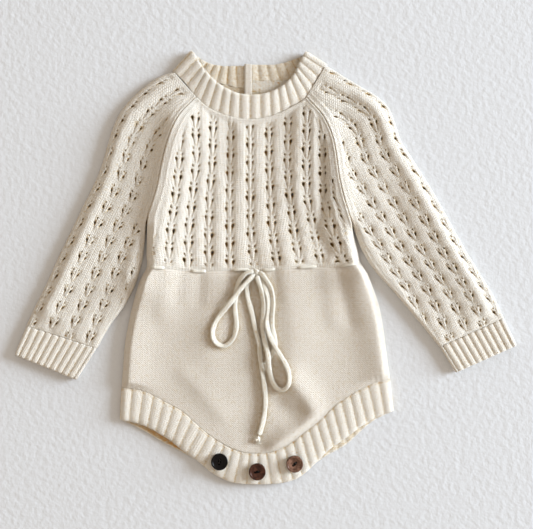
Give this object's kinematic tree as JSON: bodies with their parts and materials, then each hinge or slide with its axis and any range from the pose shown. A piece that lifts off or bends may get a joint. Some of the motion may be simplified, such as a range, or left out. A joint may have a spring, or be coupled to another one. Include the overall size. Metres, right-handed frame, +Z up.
{
  "type": "knitted baby romper",
  "caption": "Long-sleeved knitted baby romper laid flat, with raglan lace sleeves, ribbed collar, cuffs and leg bands, a waist drawstring tied in a bow and crotch buttons.",
  "frame": {"origin": "on the surface the romper lies on, under the middle of its outline from cuff to cuff and from collar to crotch", "axes": "+X to the right as seen from above, along the line from cuff to cuff; +Y from the crotch towards the collar; +Z up through the cloth, out of its front"},
  "size_m": [0.454, 0.3916, 0.0138],
  "materials": {
    "knit_lace": "cream cotton lace knitting, soft and matte",
    "knit_plain": "cream cotton stocking stitch, soft and matte",
    "knit_rib": "cream cotton ribbing, soft and matte",
    "knit_cord": "cream knitted cord, matte",
    "button_brown": "dark brown polished resin"
  },
  "bodies": {
    "root": {"front_bodice": "knit_lace", "back_bodice": "knit_lace", "sleeve_left": "knit_lace", "sleeve_right": "knit_lace", "front_lower": "knit_plain", "back_lower": "knit_plain", "collar": "knit_rib", "back_placket": "knit_rib", "cuff_left": "knit_rib", "cuff_right": "knit_rib", "front_leg_band": "knit_rib", "back_leg_band": "knit_rib", "drawstring_knot": "knit_cord", "drawstring_loop_left": "knit_cord", "drawstring_loop_right": "knit_cord", "drawstring_tail_long": "knit_cord", "drawstring_tail_short": "knit_cord", "drawstring_end_knot": "knit_cord", "drawstring_waist_1": "knit_cord", "drawstring_waist_2": "knit_cord", "drawstring_waist_3": "knit_cord", "drawstring_waist_4": "knit_cord", "drawstring_waist_5": "knit_cord", "drawstring_waist_6": "knit_cord", "button_left": "button_brown", "button_middle": "button_brown", "button_right": "button_brown"}
  },
  "joints": []
}
